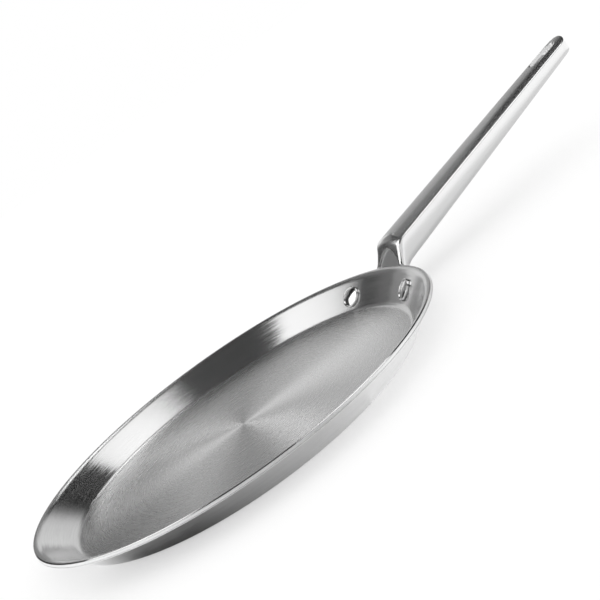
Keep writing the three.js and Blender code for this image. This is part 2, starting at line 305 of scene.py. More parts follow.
def finish_tree(tree, geometry, material):
    """Ends a tree: smooth faces with sharp edges kept, real instances, and the finish."""
    smooth = out(tree, "GeometryNodeSetShadeSmooth", geometry, None, True, domain="FACE")
    bend = add(tree, "GeometryNodeInputMeshEdgeAngle").outputs["Unsigned Angle"]
    limits = {"A": bend, "B": SHARP_EDGE}
    sharp = out(tree, "FunctionNodeCompare", named=limits, operation="GREATER_THAN", data_type="FLOAT")
    creased = out(tree, "GeometryNodeSetShadeSmooth", smooth, sharp, False, domain="EDGE")
    real = out(tree, "GeometryNodeRealizeInstances", creased)
    add(tree, "NodeGroupOutput", out(tree, "GeometryNodeSetMaterial", real, None, material))


def evaluated(piece):
    """A plain mesh of a piece as its modifiers leave it."""
    depsgraph = bpy.context.evaluated_depsgraph_get()
    return bpy.data.meshes.new_from_object(piece.evaluated_get(depsgraph), depsgraph=depsgraph)


def made_by_nodes(name, wire, tree, values):
    """Runs a geometry tree on a wire mesh, and returns the result as a plain mesh object."""
    source = placed(name + "_wire", wire)
    modifier = source.modifiers.new(tree.name, "NODES")
    modifier.node_group = tree
    for item in tree.interface.items_tree:
        if item.in_out == "INPUT" and item.name in values:
            modifier[item.identifier] = values[item.name]
    mesh = evaluated(source)
    bpy.data.objects.remove(source)
    return placed(name, mesh)


def placed(name, data):
    """A new object of the scene."""
    data.name = name
    piece = bpy.data.objects.new(name, data)
    bpy.context.scene.collection.objects.link(piece)
    return piece


def dress(piece, slot, *nodes):
    """Puts a piece on the frame in place of its nodes."""
    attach(piece, "root")
    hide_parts(*nodes)


# Finishes


def new_material(name, values):
    """A material with its shader's inputs set: itself, its tree and its shader."""
    material = bpy.data.materials.new(name)
    material.use_nodes = True
    shader = material.node_tree.nodes["Principled BSDF"]
    feed(material.node_tree, shader, values)
    return material, material.node_tree, shader


def metal(name, color, roughness):
    """A metal material: itself, its tree, its shader and the object coordinates."""
    values = {"Metallic": 1, "Base Color": (*color, 1), "Roughness": roughness}
    material, tree, shader = new_material(name, values)
    return material, tree, shader, add(tree, "ShaderNodeTexCoord").outputs["Object"]


def matt(name, color):
    """A matt material for the stage: itself, its tree and its shader."""
    return new_material(name, {"Base Color": (*color, 1), "Roughness": 1, "Specular IOR Level": 0})


def grain_noise(tree, marks):
    """Noise over coordinates that count in marks."""
    return out(tree, "ShaderNodeTexNoise", marks, named={"Scale": 1, "Detail": 3})


def spread_to(tree, noise, low, high):
    """A noise value spread between two limits."""
    return out(tree, "ShaderNodeMapRange", noise, *NOISE_RANGE, low, high)


def flattened(tree, place):
    """A place without its height, and its distance from the Z axis."""
    flat = vector_node(tree, "MULTIPLY", place, (1, 1, 0))
    return flat, vector_node(tree, "LENGTH", flat)


def ring_grain(tree, place, across, around, part):
    """Noise drawn out round the Z axis, from one row of the brushed lines."""
    flat, radius = flattened(tree, place)
    heading = add(tree, "ShaderNodeSeparateXYZ", vector_node(tree, "NORMALIZE", flat)).outputs
    height = add(tree, "ShaderNodeSeparateXYZ", place).outputs[2]
    outward = math_node(tree, "ADD", radius, height)
    counts = ((outward, across), (heading[0], around), (heading[1], around))
    marks = [math_node(tree, "MULTIPLY", value, count) for value, count in counts]
    noise = grain_noise(tree, out(tree, "ShaderNodeCombineXYZ", *marks))
    return math_node(tree, "MULTIPLY", noise, part)


def by_radius(tree, place, stops):
    """A value that follows the distance from the Z axis: stops are radius and value."""
    reach = 2 * RIM_RADIUS
    part = math_node(tree, "DIVIDE", flattened(tree, place)[1], reach)
    return grey_ramp(tree, part, [(radius / reach, value) for radius, value in stops]).outputs[0]


def circular_brushed(name, color, polish, anisotropy):
    """Steel brushed in circles about the Z axis, with each line leaning a little along its groove."""
    material, tree, shader, place = metal(name, color, polish[0][1])
    lines = math_node(tree, "ADD", *[ring_grain(tree, place, *brush) for brush in BRUSH_LINES])
    spread = spread_to(tree, lines, *ROUGH_SPREAD)
    tones = [(*[min(1, part * tone) for part in color], 1) for tone in LINE_TONES]
    around = out(tree, "ShaderNodeTangent", direction_type="RADIAL", axis="Z")
    swing = {"Scale": spread_to(tree, lines, -LINE_LEAN, LINE_LEAN)}
    lean = out(tree, "ShaderNodeVectorMath", around, named=swing, operation="SCALE")
    normal = add(tree, "ShaderNodeNewGeometry").outputs["Normal"]
    values = {
        "Roughness": math_node(tree, "MULTIPLY", by_radius(tree, place, polish), spread),
        "Base Color": mixed(tree, spread_to(tree, lines, 0, 1), *tones),
        "Anisotropic": anisotropy,
        "Anisotropic Rotation": ACROSS_LINES,
        "Tangent": around,
        "Normal": vector_node(tree, "NORMALIZE", vector_node(tree, "ADD", normal, lean)),
    }
    feed(tree, shader, values)
    return material


def cast_steel(name, color, roughness, slope, grain, strength):
    """Cast steel with a fine grain: grain is marks per metre along, across and up the piece."""
    material, tree, shader, place = metal(name, color, roughness)
    turned = {"Rotation": (0, slope, 0), "Scale": grain}
    noise = grain_noise(tree, out(tree, "ShaderNodeMapping", place, named=turned))
    grooves = {"Strength": strength, "Distance": GROOVE_DEPTH, "Height": noise}
    bump = out(tree, "ShaderNodeBump", named=grooves)
    spread = spread_to(tree, noise, *[roughness * part for part in ROUGH_SPREAD])
    feed(tree, shader, {"Normal": bump, "Roughness": spread})
    return material


# Shapes shared by the dish, the rivets and the handle, in (distance from the axis, height)


def uphill(slope):
    """The direction up a slope."""
    return Vector((cos(slope), sin(slope)))


def above(slope):
    """The direction square to a slope, upwards."""
    return Vector((-sin(slope), cos(slope)))


def in_space(place, across):
    """A point of a section, set across from the pan's middle plane."""
    return Vector((place.x, across, place.y))


def between(first, last, part):
    """A value part of the way from one to another."""
    return first + (last - first) * part


def arc(centre, radius, first, last, count):
    """Points of a bend between two slopes, above its centre, or below it where the radius is negative."""
    return [centre + above(between(first, last, i / count)) * radius for i in range(count + 1)]


def rounded_corner(before, corner, after, radius, count=5):
    """Points of a quarter round that takes the place of a square corner."""
    to_before = (before - corner).normalized()
    to_after = (after - corner).normalized()
    centre = corner + (to_before + to_after) * radius
    points = []
    for i in range(count + 1):
        turn = pi / 2 * i / count
        points.append(centre - to_after * radius * cos(turn) - to_before * radius * sin(turn))
    return points


class DishShape:
    """The clad sheet's half section, worked out from the sizes."""

    def __init__(self, sizes):
        self.sizes = sizes
        self.sheet = sizes.inner_ply + sizes.core_ply + sizes.outer_ply + 2 * sizes.bond_gap
        wall, lip = sizes.wall_angle, sizes.lip_angle
        self.lip_top = sizes.lip_bend + self.sheet
        corner_rise = sizes.corner_radius * (1 - cos(wall))
        corner_run = sizes.corner_radius * sin(wall)
        self.lip_rise = self.lip_top * (cos(lip) - cos(wall)) + sizes.lip_flat * sin(lip)
        lip_run = self.lip_top * (sin(wall) - sin(lip)) + sizes.lip_flat * cos(lip)
        self.wall_length = (sizes.height - self.sheet - corner_rise - self.lip_rise) / sin(wall)
        run = corner_run + self.wall_length * cos(wall) + lip_run + self.sheet * sin(lip)
        self.floor_radius = sizes.rim_radius - run
        self.along, self.out = uphill(wall), -above(wall)
        self.foot = Vector((self.floor_radius + corner_run, self.sheet + corner_rise))

    def wall_point(self, up_slope, depth):
        """A point of the straight wall: up the slope from its middle, and into the sheet."""
        return self.foot + self.along * (self.wall_length / 2 + up_slope) + self.out * depth

    def skin(self, depth):
        """Half the dish from the middle of the floor to the cut edge, at a depth into the sheet."""
        sizes, count = self.sizes, self.sizes.arc_steps
        corner = Vector((self.floor_radius, self.sheet + sizes.corner_radius))
        lip_centre = self.wall_point(self.wall_length / 2, self.lip_top)
        rings = [self.floor_radius * i / FLOOR_STEPS for i in range(FLOOR_STEPS)]
        points = [Vector((radius, self.sheet - depth)) for radius in rings]
        points += arc(corner, -sizes.corner_radius - depth, 0, sizes.wall_angle, count)
        for i in range(1, sizes.wall_steps):
            points.append(self.wall_point(self.wall_length * (i / sizes.wall_steps - 0.5), depth))
        points += arc(lip_centre, self.lip_top - depth, sizes.wall_angle, sizes.lip_angle, count)
        points.append(points[-1] + uphill(sizes.lip_angle) * sizes.lip_flat)
        return points


class RivetPlace:
    """Where the rivets sit on the wall."""

    def __init__(self, scene):
        rivets, self.dish = scene.pan_rivets, DishShape(scene.pan_dish)
        self.foot = self.dish.wall_point(rivets.lift, 0)
        self.angle = asin(rivets.spacing / 2 / self.foot.x)
        self.lean = scene.pan_dish.wall_angle
        self.grip = self.dish.sheet + scene.pan_handle.flange + 2 * rivets.seat_gap
        self.inputs = {"Foot": in_space(self.foot, 0), "Lean": self.lean, "Spread": self.angle}

    def axis(self, side):
        """The matrix that stands a rivet on its axis."""
        turn = Matrix.Rotation(side * self.angle, 4, "Z")
        lean = Matrix.Rotation(-self.lean, 4, "Y")
        return turn @ Matrix.Translation(in_space(self.foot, 0)) @ lean


# Geometry trees of the plies and the rivets

RIVET_SOCKETS = {"Foot": "Vector", "Lean": "Float", "Spread": "Float"}
TURNED_SOCKETS = {"Turn Steps": "Int", **RIVET_SOCKETS, "Finish": "Material"}


def ring_wire(points):
    """A closed wire in the XY plane, ready to be swept round the Z axis."""
    mesh = bpy.data.meshes.new("section")
    edges = [(i, (i + 1) % len(points)) for i in range(len(points))]
    mesh.from_pydata([(point.x, -point.y, 0) for point in points], edges, [])
    return mesh


def swept_round(tree, given):
    """The section swept round the Z axis on a small circle, with its pole closed."""
    section = out(tree, "GeometryNodeMeshToCurve", given["Geometry"])
    shifted = out(tree, "GeometryNodeTransform", section, named={"Translation": (-SWEEP_RADIUS, 0, 0)})
    circle = {"Resolution": given["Turn Steps"], "Radius": SWEEP_RADIUS}
    path = out(tree, "GeometryNodeCurvePrimitiveCircle", named=circle)
    swept = out(tree, "GeometryNodeCurveToMesh", path, shifted)
    return out(tree, "GeometryNodeMergeByDistance", swept, named={"Distance": MERGE_DISTANCE})


def on_rivet_axes(tree, shape, given):
    """A shape set on both rivet axes: leaning with the wall, and turned to each side of the handle."""
    index = out(tree, "GeometryNodeInputIndex")
    side = math_node(tree, "SUBTRACT", math_node(tree, "MULTIPLY", index, 2), 1)
    turn = math_node(tree, "MULTIPLY", side, given["Spread"])
    place = out(tree, "ShaderNodeVectorRotate", given["Foot"], named={"Angle": turn}, rotation_type="Z_AXIS")
    points = out(tree, "GeometryNodePoints", 2, place)
    back = math_node(tree, "MULTIPLY", given["Lean"], -1)
    rotation = out(tree, "FunctionNodeEulerToRotation", out(tree, "ShaderNodeCombineXYZ", 0, back, turn))
    instances = {"Instance": shape, "Rotation": rotation}
    set_on = out(tree, "GeometryNodeInstanceOnPoints", points, named=instances)
    return out(tree, "GeometryNodeRealizeInstances", set_on)


def ply_tree():
    """Geometry tree of one ply: a turned section with the two rivet holes drilled through it."""
    hole_sockets = {"Hole Radius": "Float", "Hole Length": "Float"}
    tree, given = new_geometry_tree("Turned Ply", {**TURNED_SOCKETS, **hole_sockets})
    drill = {"Vertices": HOLE_STEPS, "Radius": given["Hole Radius"], "Depth": given["Hole Length"]}
    hole = out(tree, "GeometryNodeMeshCylinder", named=drill)
    meshes = {"Mesh 1": swept_round(tree, given), "Mesh 2": on_rivet_axes(tree, hole, given)}
    cut = out(tree, "GeometryNodeMeshBoolean", named=meshes, operation="DIFFERENCE", solver="EXACT")
    finish_tree(tree, cut, given["Finish"])
    return tree


def rivet_tree():
    """Geometry tree of the rivet pair: one turned section set on both rivet axes."""
    tree, given = new_geometry_tree("Rivet Pair", TURNED_SOCKETS)
    outwards = out(tree, "GeometryNodeFlipFaces", swept_round(tree, given))
    finish_tree(tree, on_rivet_axes(tree, outwards, given), given["Finish"])
    return tree


def ply_outline(upper, lower, radius):
    """The ply's closed section, with the corners of the cut edge rounded."""
    low = rounded_corner(lower[-2], lower[-1], upper[-1], radius)
    high = rounded_corner(lower[-1], upper[-1], upper[-2], radius)
    return lower[:-1] + low + high + upper[-2::-1]


class PAN_OT_dish(Operator):
    """Builds the three plies of the dish."""

    bl_idname = "pan.dish"
    bl_label = "Dish"

    def execute(self, context):
        scene = context.scene
        sizes, finish, rivets = scene.pan_dish, scene.pan_finish, scene.pan_rivets
        seat = RivetPlace(scene)
        dish = seat.dish
        tree = ply_tree()
        core_top = sizes.inner_ply + sizes.bond_gap
        outer_top = core_top + sizes.core_ply + sizes.bond_gap
        zones = (
            (dish.floor_radius - FLOOR_BAND, finish.floor_rough),
            (dish.foot.x, finish.wall_rough),
            (sizes.rim_radius - WALL_BAND, finish.wall_rough),
            (sizes.rim_radius - LIP_BAND, finish.lip_rough),
        )
        plies = (
            ("inner_ply", 0, sizes.inner_ply, "cooking_steel", zones, INNER_BRUSH),
            ("core_ply", core_top, sizes.core_ply, "core_aluminium", ((0, finish.core_rough),), CORE_BRUSH),
            ("outer_ply", outer_top, sizes.outer_ply, "outer_steel", ((0, finish.outer_rough),), OUTER_BRUSH),
        )
        for node, top, thick, slot, polish, anisotropy in plies:
            upper, lower = dish.skin(top), dish.skin(top + thick)
            if top == 0:
                upper[-1] = upper[-1].lerp(upper[-2], sizes.edge_bevel / sizes.lip_flat)
            outline = ply_outline(upper, lower, min(sizes.edge_round, thick / 5))
            values = {
                **seat.inputs,
                "Turn Steps": sizes.turn_steps,
                "Hole Radius": rivets.shank_radius + rivets.hole_clearance,
                "Hole Length": 4 * seat.grip,
                "Finish": circular_brushed(slot, getattr(finish, slot), polish, anisotropy),
            }
            dress(made_by_nodes("pan_" + node, ring_wire(outline), tree, values), slot, node)
        return {"FINISHED"}


def rivet_outline(sizes, grip):
    """Half the rivet from the middle of its tail to the middle of its crowned face."""
    ring = sizes.ring_width / 2
    ring_middle = sizes.seat_gap + sizes.head_height - ring
    points = [(0, -grip - sizes.tail_height), (sizes.tail_face, -grip - sizes.tail_height)]
    for i in range(1, TAIL_STEPS + 1):
        turn = pi / 2 * i / TAIL_STEPS
        reach = between(sizes.tail_face, sizes.tail_radius, sin(turn))
        points.append((reach, -grip - sizes.tail_height * (0.5 + 0.5 * cos(turn))))
    points += [(sizes.tail_radius, -grip), (sizes.shank_radius, -grip)]
    points += [(sizes.shank_radius, sizes.seat_gap), (sizes.head_radius, sizes.seat_gap)]
    ring_centre = Vector((sizes.head_radius - ring, ring_middle))
    points += arc(ring_centre, ring, -pi / 2, pi / 2, RING_STEPS)
    inside = sizes.head_radius - sizes.ring_width
    for i in range(1, FACE_STEPS + 1):
        part = 1 - i / FACE_STEPS
        points.append((inside * part, ring_middle + sizes.face_crown * (1 - part**2)))
    return [Vector(point) for point in points]


class PAN_OT_rivets(Operator):
    """Builds the pair of rivets."""

    bl_idname = "pan.rivets"
    bl_label = "Rivets"

    def execute(self, context):
        scene = context.scene
        sizes, finish = scene.pan_rivets, scene.pan_finish
        seat = RivetPlace(scene)
        steel = cast_steel("rivet_steel", finish.rivet_steel, finish.rivet_rough, 0, *RIVET_GRAIN)
        values = {**seat.inputs, "Turn Steps": sizes.turn_steps, "Finish": steel}
        pair = made_by_nodes("pan_rivets", ring_wire(rivet_outline(sizes, seat.grip)), rivet_tree(), values)
        dress(pair, "rivet_steel", "rivet_left", "rivet_right")
        return {"FINISHED"}


# The handle

Station = namedtuple("Station", "top under half crown crown_half crease edge bulge")


class HandleShape:
    """The handle's stations, worked out from the sizes."""

    def __init__(self, scene):
        self.rivets, self.seat = scene.pan_rivets, RivetPlace(scene)
        self.dish, self.sizes = self.seat.dish, scene.pan_handle
        sizes, pan = scene.pan_handle, scene.pan_dish
        self.lip = Vector((pan.rim_radius + sizes.lip_clearance, pan.height))
        self.elbow = self.lip + Vector((sizes.elbow_rise / tan(sizes.neck_angle), sizes.elbow_rise))
        self.along, self.up = uphill(sizes.slope), above(sizes.slope)
        self.neck_along = (self.elbow - self.lip).normalized()
        self.bend = sizes.elbow_radius * tan((sizes.neck_angle - sizes.slope) / 2)
        self.length = (pan.rim_radius + sizes.reach - self.elbow.x) / cos(sizes.slope)

    def top(self, along):
        """The grip's top line."""
        return self.elbow + self.along * along

    def half(self, along):
        """Half the grip's width."""
        return between(self.sizes.width_elbow, self.sizes.width_tip, along / self.length) / 2

    def depth(self, along):
        """The grip's depth."""
        return between(self.sizes.depth_elbow, self.sizes.depth_tip, along / self.length)

    def under(self, along):
        """The grip's lower line."""
        return self.top(along) - self.up * self.depth(along)

    def crown(self, half):
        """The rise of the grip's top where it is so wide."""
        return self.sizes.crown * (2 * half / self.sizes.width_elbow) ** CROWN_POWER

    def flange_stations(self):
        """The flange on the outside of the wall, with a round ear at each rivet."""
        sizes, inner = self.sizes, self.dish.sheet + self.rivets.seat_gap
        for i in range(2 * EAR_STEPS):
            turn = pi / 2 * (i / EAR_STEPS - 1)
            up_slope = self.rivets.lift + sizes.ear_radius * sin(turn)
            top = self.dish.wall_point(up_slope, inner)
            under = self.dish.wall_point(up_slope, inner + sizes.flange)
            half = self.seat.angle * self.seat.foot.x + sizes.ear_radius * cos(turn)
            yield Station(top, under, half, 0, half, sizes.flange_edge, sizes.flange_edge, 0)

    def neck_stations(self, last):
        """Round the lip, up the leaning front and over the elbow."""
        sizes = self.sizes
        under_lip = Vector((self.lip.x, self.lip.y - self.dish.sheet - self.dish.lip_rise))
        neck_length = (self.elbow - self.lip).length
        lip_half = sizes.neck_width / 2
        to_lip = (under_lip - last.top).length
        path = to_lip + (self.lip - under_lip).length + neck_length

        def station(top, walked, half, crown, crease):
            part = walked / path
            edge = between(sizes.flange_edge, sizes.under_edge, part)
            under = last.under.lerp(self.under(0), part)
            return Station(top, under, half, crown, half, crease, edge, sizes.bulge * part**4)

        shoulder = between(last.half, lip_half, SHOULDER_SHARE)
        yield station(under_lip, to_lip, shoulder, 0, sizes.flange_edge)
        front = neck_length - self.bend
        for i in range(NECK_STEPS):
            part = i / NECK_STEPS
            top = self.lip + self.neck_along * part * front
            half = between(self.half(0), lip_half, (1 - part) ** 2)
            walked = path - neck_length + part * front
            yield station(top, walked, half, sizes.crown / 2 * part**2, sizes.neck_edge)
        centre = self.elbow - self.neck_along * self.bend - above(sizes.neck_angle) * sizes.elbow_radius
        over = arc(centre, sizes.elbow_radius, sizes.neck_angle, sizes.slope, BEND_STEPS)
        for i, top in enumerate(over):
            part = i / BEND_STEPS
            crease = between(sizes.neck_edge, sizes.crease, part)
            walked = path - self.bend * (1 - part)
            yield station(top, walked, self.half(0), sizes.crown * (0.5 + part / 2), crease)

    def grip_stations(self):
        """The straight taper of the grip and its round tip."""
        sizes = self.sizes
        tip = sizes.width_tip / 2
        start, end = 2 * self.bend, self.length - tip

        def station(along, half):
            full = self.half(along)
            thin = self.depth(along) / sizes.depth_elbow
            edges = sizes.crease, sizes.under_edge * thin, sizes.bulge * thin
            return Station(self.top(along), self.under(along), half, self.crown(full), full, *edges)

        for i in range(GRIP_STEPS + 1):
            along = between(start, end, i / GRIP_STEPS)
            yield station(along, self.half(along))
        for i in range(1, TIP_STEPS + 1):
            turn = TIP_TURN * i / TIP_STEPS
            yield station(end + tip * sin(turn), self.half(end) * cos(turn))

    def wrapped(self, place):
        """Bends a point round the dish: fully up to the lip, and fading to straight at the elbow."""
        turn = place.y / place.x
        wrap = min(1, max(0, (self.elbow.x - place.x) / (self.elbow.x - self.lip.x)))
        bent = Vector((place.x * cos(turn), place.x * sin(turn), place.z))
        return place.lerp(bent, wrap)


def edge_round(half, depth, radius, count):
    """A quarter round at the edge of a cross section, as (across, drop) from its flat to its side."""
    radius = min(radius, WIDEST_ROUND * half, DEEPEST_ROUND * depth)
    turns = [pi / 2 * i / count for i in range(count + 1)]
    return [(half - radius + radius * sin(turn), radius - radius * cos(turn)) for turn in turns]


def cross_section(station, crown_count=24, edge_count=8, side_count=6, flat_count=4):
    """A handle cross section from one top edge over the crown, and back under."""
    top, under, half, crown, crown_half, crease, edge, bulge = station
    up = (top - under).normalized()
    depth = (top - under).length
    over = edge_round(half, depth, crease, edge_count)
    below = [(across, drop - depth) for across, drop in edge_round(half, depth, edge, edge_count)]
    shoulder, foot = over[0][0], below[0][0]
    ridge = [(across, -drop) for across, drop in reversed(over)]
    ridge += [(shoulder * (1 - 2 * i / crown_count), 0) for i in range(1, crown_count)]
    ridge += [(-across, -drop) for across, drop in over]
    ridge = [(across, height + crown * (1 - (across / crown_half) ** 2)) for across, height in ridge]
    side = []
    for i in range(1, side_count):
        part = i / side_count
        height = between(ridge[0][1], below[-1][1], part)
        side.append((half + 4 * bulge * part * (1 - part), height))
    outline = ridge + [(-across, height) for across, height in side + below[::-1]]
    outline += [(foot * (2 * i / flat_count - 1), -depth) for i in range(1, flat_count)]
    outline += below + side[::-1]
    return [in_space(top + up * height, across) for across, height in outline]


def lofted(name, rings):
    """A closed mesh through rings of points."""
    body = bmesh.new()
    rows = [[body.verts.new(place) for place in ring] for ring in rings]
    count = len(rows[0])
    for low, high in zip(rows, rows[1:]):
        for i in range(count):
            body.faces.new((low[i], low[(i + 1) % count], high[(i + 1) % count], high[i]))
    body.faces.new(reversed(rows[0]))
    body.faces.new(rows[-1])
    if body.calc_volume(signed=True) < 0:
        bmesh.ops.reverse_faces(body, faces=body.faces)
    mesh = bpy.data.meshes.new(name)
    body.to_mesh(mesh)
    body.free()
    return mesh


def slot_outline(start, end, start_half, end_half, count=15):
    """A straight slot with round ends."""
    far = arc(Vector((end, 0)), end_half, -pi, 0, count)
    return far + arc(Vector((start, 0)), start_half, 0, pi, count)


def on_plane(points, origin, along, height):
    """Outline points set on a plane of the handle at a height above it."""
    up = Vector((-along.y, along.x))
    return [in_space(origin + along * point.x + up * height, point.y) for point in points]


def pocket_cutter(shape):
    """The arched pocket in the neck's front, open at the lip."""
    sizes = shape.sizes
    rings = []
    for height in (-sizes.pocket_depth, 2 * sizes.crown):
        grow = POCKET_DRAFT * (height + sizes.pocket_depth)
        half, tall = sizes.pocket_width / 2 + grow, sizes.pocket_height + grow
        outline = [Vector((-2 * sizes.pocket_depth, -half))]
        for i in range(ARCH_STEPS + 1):
            across = half * (2 * i / ARCH_STEPS - 1)
            outline.append(Vector((tall * (1 - (across / half) ** 2), across)))
        outline.append(Vector((-2 * sizes.pocket_depth, half)))
        rings.append(on_plane(outline, shape.lip, shape.neck_along, height))
    return lofted("pocket", rings)


def slot_cutter(shape):
    """The hanging slot through the tip, with leaning walls and a rounded mouth."""
    sizes = shape.sizes
    half, edge = sizes.slot_width / 2, sizes.slot_round
    end = shape.length - sizes.slot_inset - half
    start = end - sizes.slot_length + sizes.slot_width
    mouth = shape.crown(sizes.width_tip / 2) * (1 - (2 * half / sizes.width_tip) ** 2)
    lean = sizes.slot_flare * tan(sizes.slot_draft)
    levels = [(-sizes.depth_elbow, 0), (mouth - edge - sizes.slot_flare, 0)]
    for i in range(MOUTH_STEPS + 1):
        turn = sizes.slot_draft + MOUTH_TURN * i / MOUTH_STEPS
        grow = lean + edge * (cos(sizes.slot_draft) - cos(turn))
        levels.append((mouth - edge + edge * sin(turn), grow))
    levels.append((mouth + sizes.crown, levels[-1][1]))
    rings = []
    for height, grow in levels:
        outline = slot_outline(start, end, half + grow, half + grow)
        rings.append(on_plane(outline, shape.elbow, shape.along, height))
    return lofted("slot", rings)


def channel_cutter(shape):
    """The hollow under the grip."""
    sizes = shape.sizes
    ends = sizes.channel_start, sizes.channel_end
    outline = slot_outline(*ends, *[shape.half(end) * sizes.channel_share for end in ends])
    heights = (-2 * sizes.depth_elbow, -sizes.channel_roof)
    return lofted("channel", [on_plane(outline, shape.elbow, shape.along, height) for height in heights])


def hole_cutter(shape, side):
    """The drilled hole for one rivet."""
    radius = shape.rivets.shank_radius + shape.rivets.hole_clearance
    turns = [tau * i / HOLE_STEPS for i in range(HOLE_STEPS)]
    axis = shape.seat.axis(side)
    rings = []
    for height in (-2 * shape.seat.grip, 2 * shape.seat.grip):
        rings.append([axis @ Vector((radius * cos(t), radius * sin(t), height)) for t in turns])
    return lofted("hole", rings)


def carve(piece, cutters):
    """Cuts the shapes out of the piece, and marks its sharp edges."""
    tools = [placed(mesh.name, mesh) for mesh in cutters]
    for tool in tools:
        cut = piece.modifiers.new(tool.name, "BOOLEAN")
        cut.object = tool
        cut.operation = "DIFFERENCE"
        cut.solver = "EXACT"
        cut.material_mode = "TRANSFER"
    carved = evaluated(piece)
    piece.modifiers.clear()
    piece.data = carved
    for tool in tools:
        bpy.data.objects.remove(tool)
    carved.shade_smooth()
    carved.set_sharp_from_angle(angle=SHARP_EDGE)


class PAN_OT_handle(Operator):
    """Builds the cast handle with its pocket, slot, hollow and rivet holes."""

    bl_idname = "pan.handle"
    bl_label = "Handle"

    def execute(self, context):
        scene = context.scene
        sizes, finish = scene.pan_handle, scene.pan_finish
        shape = HandleShape(scene)
        flange = list(shape.flange_stations())
        stations = [*flange, *shape.neck_stations(flange[-1]), *shape.grip_stations()]
        rings = [[shape.wrapped(place) for place in cross_section(station)] for station in stations]
        piece = placed("pan_handle", lofted("pan_handle", rings))
        color = finish.handle_steel
        steel = cast_steel("handle_steel", color, finish.handle_rough, sizes.slope, *HANDLE_GRAIN)
        piece.data.materials.append(steel)
        dull = [SATIN_TONE * part for part in color]
        satin = cast_steel("handle_satin", dull, finish.satin_rough, sizes.slope, *SATIN_GRAIN)
        pocket, channel = pocket_cutter(shape), channel_cutter(shape)
        for hollow in (pocket, channel):
            hollow.materials.append(satin)
        holes = [hole_cutter(shape, side) for side in (-1, 1)]
        carve(piece, [pocket, slot_cutter(shape), channel, *holes])
        dress(piece, "handle_steel", "handle")
        return {"FINISHED"}


# The stage, in metres and degrees

# Softboxes: name, place, size along and across, turn, and part of the box light
SOFTBOXES = (
    ("softbox_left", (-0.873, 0.581, 1.0), (1.175, 1.11), -56, 0.8),
    ("softbox_right", (0.673, -0.234, 1.0), (0.68, 1.0), 32.8, 0.86),
    ("softbox_back", (0.498, 0.898, 1.0), (0.6, 0.22), 61, 1.4),
)

# Painted reflections on the grip, from cards behind it that show only in the metal: left, right, foot, top
# and grey
GRIP_CARDS = (
    (0.205, 0.42, 0, 0.06, 0.7),
    (0.42, 0.5, 0, 0.06, 0.56),
    (0.5, 0.7, 0, 0.06, 0.54),
    (0.205, 0.42, 0.06, 0.13, 0.5),
    (0.42, 0.5, 0.06, 0.13, 0.44),
    (0.5, 0.7, 0.06, 0.13, 0.42),
    (0.205, 0.42, 0.13, 0.21, 0.43),
    (0.42, 0.5, 0.13, 0.21, 0.36),
    (0.5, 0.7, 0.13, 0.21, 0.28),
    (0.15, 0.42, 0.21, 0.4, 0.21),
)
CARD_START, CARD_DISTANCE, CARD_GROWTH = 0.205, 0.2, 1.885

# Painted reflections, from cards along two axes that show only in the metal: name, lowest and highest corner,
# and grey
CARDS = (
    ("high_card", (-0.02, 0.75, 0.36), (0.27, 0.75, 0.7), 0.26),
    ("high_card", (-0.02, 0.75, 0.3), (0.27, 0.75, 0.36), 0.55),
    ("elbow_card", (-0.02, 0.75, 0.1), (0.13, 0.75, 0.3), 0.35),
    ("side_card", (0.9, -0.15, 0.1), (0.9, 0.5, 0.62), 0.03),
    ("neck_card", (-0.6, 0.75, 0.08), (-0.1, 0.75, 0.62), 0.06),
    ("neck_card", (-0.1, 0.75, 0.08), (-0.02, 0.75, 0.36), 0.06),
    ("neck_card", (-0.1, 0.75, 0.36), (-0.02, 0.75, 0.62), 0.3),
    ("low_card", (0.08, 0.79, 0), (0.36, 0.79, 0.13), 0.35),
    ("front_card", (-1.3, -0.9, 0), (0.35, -0.9, 1.1), 0.9),
    ("left_card", (-1, -0.9, 0), (-1, 0.2, 1.1), 0.9),
    ("front_sheet", (-0.4, -0.75, 0), (0.08, -0.15, 0), 0.25),
    # The next sheet is a painted shadow of the handle on the floor, seen only in the metal.
    ("grip_sheet", (0.12, -0.13, 0), (0.45, 0.1, 0), 0.74),
)

# The painted shadow under the wall, a dark sheet seen only in the metal: its turns, where its shade starts
# and ends, and its rings as radius and shade
PAINTED_SHADOW_TURNS = range(190, 286, 4)
PAINTED_SHADOW_START, PAINTED_SHADOW_RISE = 188, 20
PAINTED_SHADOW_END, PAINTED_SHADOW_FALL = 290, 62
PAINTED_SHADOW_RINGS = ((0.09, 1), (0.116, 1), (0.15, 0))
PAINTED_SHADOW_GREY = 0.04

# The floor and the world: stops are height and grey
FLOOR_CORNERS = ((-6, -6, -0.0002), (6, 6, -0.0002))
FLOOR_GLOW = 0.5
MIRRORED_GLOW = 0.1
WORLD_STOPS = ((0.02, 1), (0.12, 1), (0.2, 0.88), (0.41, 0.84), (0.53, 0.01), (0.8, 0.01), (1, 0.06))
WORLD_FILL = (1.05, 1.05, 1.05, 1)


def background_rays(tree):
    """1 for a ray that sees the background: straight, mirrored or through glass."""
    rays = add(tree, "ShaderNodeLightPath").outputs
    mirrored = math_node(tree, "MAXIMUM", rays["Is Glossy Ray"], rays["Is Transmission Ray"])
    return math_node(tree, "MAXIMUM", rays["Is Camera Ray"], mirrored)


def rectangle(low, high):
    """Corners of a rectangle along two axes, from its lowest corner to its highest."""
    axis = next(axis for axis in range(3) if low[axis] != high[axis])
    near, far = list(low), list(high)
    near[axis], far[axis] = high[axis], low[axis]
    return [low, near, high, far]


def behind_grip(left, right, low, high):
    """Corners of a standing card behind the grip, edge-on to the dish and taller with its distance."""
    corners = []
    for along, height in ((left, low), (right, low), (right, high), (left, high)):
        far = 1 + CARD_GROWTH * (along - CARD_START)
        corners.append((along, CARD_DISTANCE * far, height * far))
    return corners


